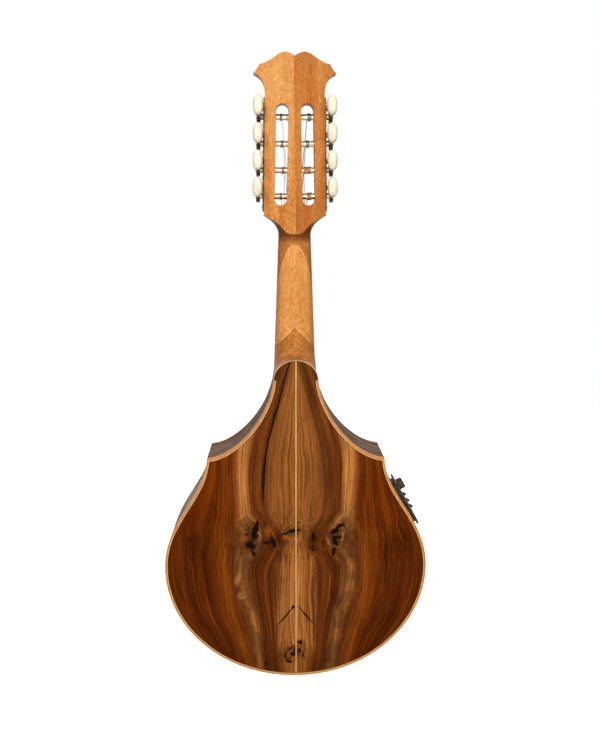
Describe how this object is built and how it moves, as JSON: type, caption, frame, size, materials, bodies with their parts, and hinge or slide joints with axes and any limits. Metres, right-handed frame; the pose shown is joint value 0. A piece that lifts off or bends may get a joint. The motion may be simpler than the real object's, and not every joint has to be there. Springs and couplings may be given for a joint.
{
  "type": "acoustic-electric mandolin",
  "caption": "Flat-back two-point mandolin with a slotted head, worm-gear tuning machines, paired strings over a flat bridge and a side preamp.",
  "frame": {"origin": "middle of the neck at the nut line, 57 mm in front of the outer face of the back, where a hanger yoke holds the instrument", "axes": "+Z to the head, +X to the bass side with the preamp, the back faces -Y and the strings +Y"},
  "size_m": [0.274, 0.076, 0.6504],
  "materials": {
    "neck_wood": "satin lacquer on orange-brown wood",
    "back_wood": "gloss lacquer on dark figured wood",
    "rib_wood": "gloss lacquer on dark wood",
    "binding_wood": "gloss lacquer on light orange wood",
    "top_wood": "gloss lacquer on spruce",
    "dark_wood": "oiled dark wood",
    "inner_wood": "bare light wood",
    "steel": "nickel plated",
    "string_steel": "plain steel wire",
    "worn_brass": "worn, darkened",
    "wound_copper": "bronze wound wire",
    "ivory_plastic": "gloss",
    "black_plastic": "matt"
  },
  "bodies": {
    "instrument": {"back_binding": "binding_wood", "back_frame": "inner_wood", "back_left": "back_wood", "back_right": "back_wood", "back_strip": "binding_wood", "battery": "black_plastic", "bridge_base": "dark_wood", "bridge_saddle": "ivory_plastic", "fingerboard": "dark_wood", "head_veneer": "dark_wood", "neck": "neck_wood", "nut": "ivory_plastic", "output_jack": "steel", "pickup": "worn_brass", "preamp_unit": "black_plastic", "rib_left": "rib_wood", "rib_right": "rib_wood", "string_left_1": "string_steel", "string_left_2": "string_steel", "string_left_3": "string_steel", "string_left_4": "string_steel", "string_right_1": "wound_copper", "string_right_2": "wound_copper", "string_right_3": "string_steel", "string_right_4": "string_steel", "tail_block": "inner_wood", "tailpiece": "steel", "top_binding": "binding_wood", "top_frame": "inner_wood", "top_plate": "top_wood", "tuner_plate_left": "worn_brass", "tuner_plate_right": "worn_brass"},
    "tuner_right_1": {"worm_right_1": "worn_brass", "button_right_1": "ivory_plastic"},
    "drum_right_1": {"roller_right_1": "steel"},
    "tuner_right_2": {"worm_right_2": "worn_brass", "button_right_2": "ivory_plastic"},
    "drum_right_2": {"roller_right_2": "steel"},
    "tuner_right_3": {"worm_right_3": "worn_brass", "button_right_3": "ivory_plastic"},
    "drum_right_3": {"roller_right_3": "steel"},
    "tuner_right_4": {"worm_right_4": "worn_brass", "button_right_4": "ivory_plastic"},
    "drum_right_4": {"roller_right_4": "steel"},
    "tuner_left_1": {"worm_left_1": "worn_brass", "button_left_1": "ivory_plastic"},
    "drum_left_1": {"roller_left_1": "steel"},
    "tuner_left_2": {"worm_left_2": "worn_brass", "button_left_2": "ivory_plastic"},
    "drum_left_2": {"roller_left_2": "steel"},
    "tuner_left_3": {"worm_left_3": "worn_brass", "button_left_3": "ivory_plastic"},
    "drum_left_3": {"roller_left_3": "steel"},
    "tuner_left_4": {"worm_left_4": "worn_brass", "button_left_4": "ivory_plastic"},
    "drum_left_4": {"roller_left_4": "steel"},
    "volume_knob": {"preamp_knob": "black_plastic"},
    "tone_slider_1": {"preamp_slider_1": "black_plastic"},
    "tone_slider_2": {"preamp_slider_2": "black_plastic"},
    "tone_slider_3": {"preamp_slider_3": "black_plastic"}
  },
  "joints": [
    {"name": "tuner_right_1_turn", "type": "hinge", "parent": "instrument", "child": "tuner_right_1", "pos_m": [0.03756, 0.0006, 0.04007], "axis": [0, 0.9994, 0.0349], "continuous": true},
    {"name": "drum_right_1_turn", "type": "hinge", "parent": "instrument", "child": "drum_right_1", "pos_m": [0.0316, 0.0009, 0.03147], "axis": [0.9999, -0.0006, 0.0171], "continuous": true},
    {"name": "tuner_right_2_turn", "type": "hinge", "parent": "instrument", "child": "tuner_right_2", "pos_m": [0.03711, -0.00031, 0.06605], "axis": [0, 0.9994, 0.0349], "continuous": true},
    {"name": "drum_right_2_turn", "type": "hinge", "parent": "instrument", "child": "drum_right_2", "pos_m": [0.03116, -0.00001, 0.05745], "axis": [0.9999, -0.0006, 0.0171], "continuous": true},
    {"name": "tuner_right_3_turn", "type": "hinge", "parent": "instrument", "child": "tuner_right_3", "pos_m": [0.03666, -0.00122, 0.09203], "axis": [0, 0.9994, 0.0349], "continuous": true},
    {"name": "drum_right_3_turn", "type": "hinge", "parent": "instrument", "child": "drum_right_3", "pos_m": [0.03071, -0.00092, 0.08343], "axis": [0.9999, -0.0006, 0.0171], "continuous": true},
    {"name": "tuner_right_4_turn", "type": "hinge", "parent": "instrument", "child": "tuner_right_4", "pos_m": [0.03622, -0.00212, 0.11801], "axis": [0, 0.9994, 0.0349], "continuous": true},
    {"name": "drum_right_4_turn", "type": "hinge", "parent": "instrument", "child": "drum_right_4", "pos_m": [0.03027, -0.00182, 0.10941], "axis": [0.9999, -0.0006, 0.0171], "continuous": true},
    {"name": "tuner_left_1_turn", "type": "hinge", "parent": "instrument", "child": "tuner_left_1", "pos_m": [-0.03756, 0.0006, 0.04007], "axis": [0, 0.9994, 0.0349], "continuous": true},
    {"name": "drum_left_1_turn", "type": "hinge", "parent": "instrument", "child": "drum_left_1", "pos_m": [-0.0316, 0.0009, 0.03147], "axis": [0.9999, 0.0006, -0.0171], "continuous": true},
    {"name": "tuner_left_2_turn", "type": "hinge", "parent": "instrument", "child": "tuner_left_2", "pos_m": [-0.03711, -0.00031, 0.06605], "axis": [0, 0.9994, 0.0349], "continuous": true},
    {"name": "drum_left_2_turn", "type": "hinge", "parent": "instrument", "child": "drum_left_2", "pos_m": [-0.03116, -0.00001, 0.05745], "axis": [0.9999, 0.0006, -0.0171], "continuous": true},
    {"name": "tuner_left_3_turn", "type": "hinge", "parent": "instrument", "child": "tuner_left_3", "pos_m": [-0.03666, -0.00122, 0.09203], "axis": [0, 0.9994, 0.0349], "continuous": true},
    {"name": "drum_left_3_turn", "type": "hinge", "parent": "instrument", "child": "drum_left_3", "pos_m": [-0.03071, -0.00092, 0.08343], "axis": [0.9999, 0.0006, -0.0171], "continuous": true},
    {"name": "tuner_left_4_turn", "type": "hinge", "parent": "instrument", "child": "tuner_left_4", "pos_m": [-0.03622, -0.00212, 0.11801], "axis": [0, 0.9994, 0.0349], "continuous": true},
    {"name": "drum_left_4_turn", "type": "hinge", "parent": "instrument", "child": "drum_left_4", "pos_m": [-0.03027, -0.00182, 0.10941], "axis": [0.9999, 0.0006, -0.0171], "continuous": true},
    {"name": "volume_turn", "type": "hinge", "parent": "instrument", "child": "volume_knob", "pos_m": [0.11045, -0.0245, -0.27224], "axis": [0.871, 0, 0.4912], "range_deg": [-135, 135]},
    {"name": "tone_slider_1_slide", "type": "slide", "parent": "instrument", "child": "tone_slider_1", "axis": [0, 1, 0], "range_m": [-0.0055, 0.0055]},
    {"name": "tone_slider_2_slide", "type": "slide", "parent": "instrument", "child": "tone_slider_2", "axis": [0, 1, 0], "range_m": [-0.0055, 0.0055]},
    {"name": "tone_slider_3_slide", "type": "slide", "parent": "instrument", "child": "tone_slider_3", "axis": [0, 1, 0], "range_m": [-0.0055, 0.0055]}
  ],
  "couplings": [
    {"joint": "drum_right_1_turn", "follows": "tuner_right_1_turn", "ratio": -0.071429},
    {"joint": "drum_right_2_turn", "follows": "tuner_right_2_turn", "ratio": -0.071429},
    {"joint": "drum_right_3_turn", "follows": "tuner_right_3_turn", "ratio": -0.071429},
    {"joint": "drum_right_4_turn", "follows": "tuner_right_4_turn", "ratio": -0.071429},
    {"joint": "drum_left_1_turn", "follows": "tuner_left_1_turn", "ratio": 0.071429},
    {"joint": "drum_left_2_turn", "follows": "tuner_left_2_turn", "ratio": 0.071429},
    {"joint": "drum_left_3_turn", "follows": "tuner_left_3_turn", "ratio": 0.071429},
    {"joint": "drum_left_4_turn", "follows": "tuner_left_4_turn", "ratio": 0.071429}
  ]
}
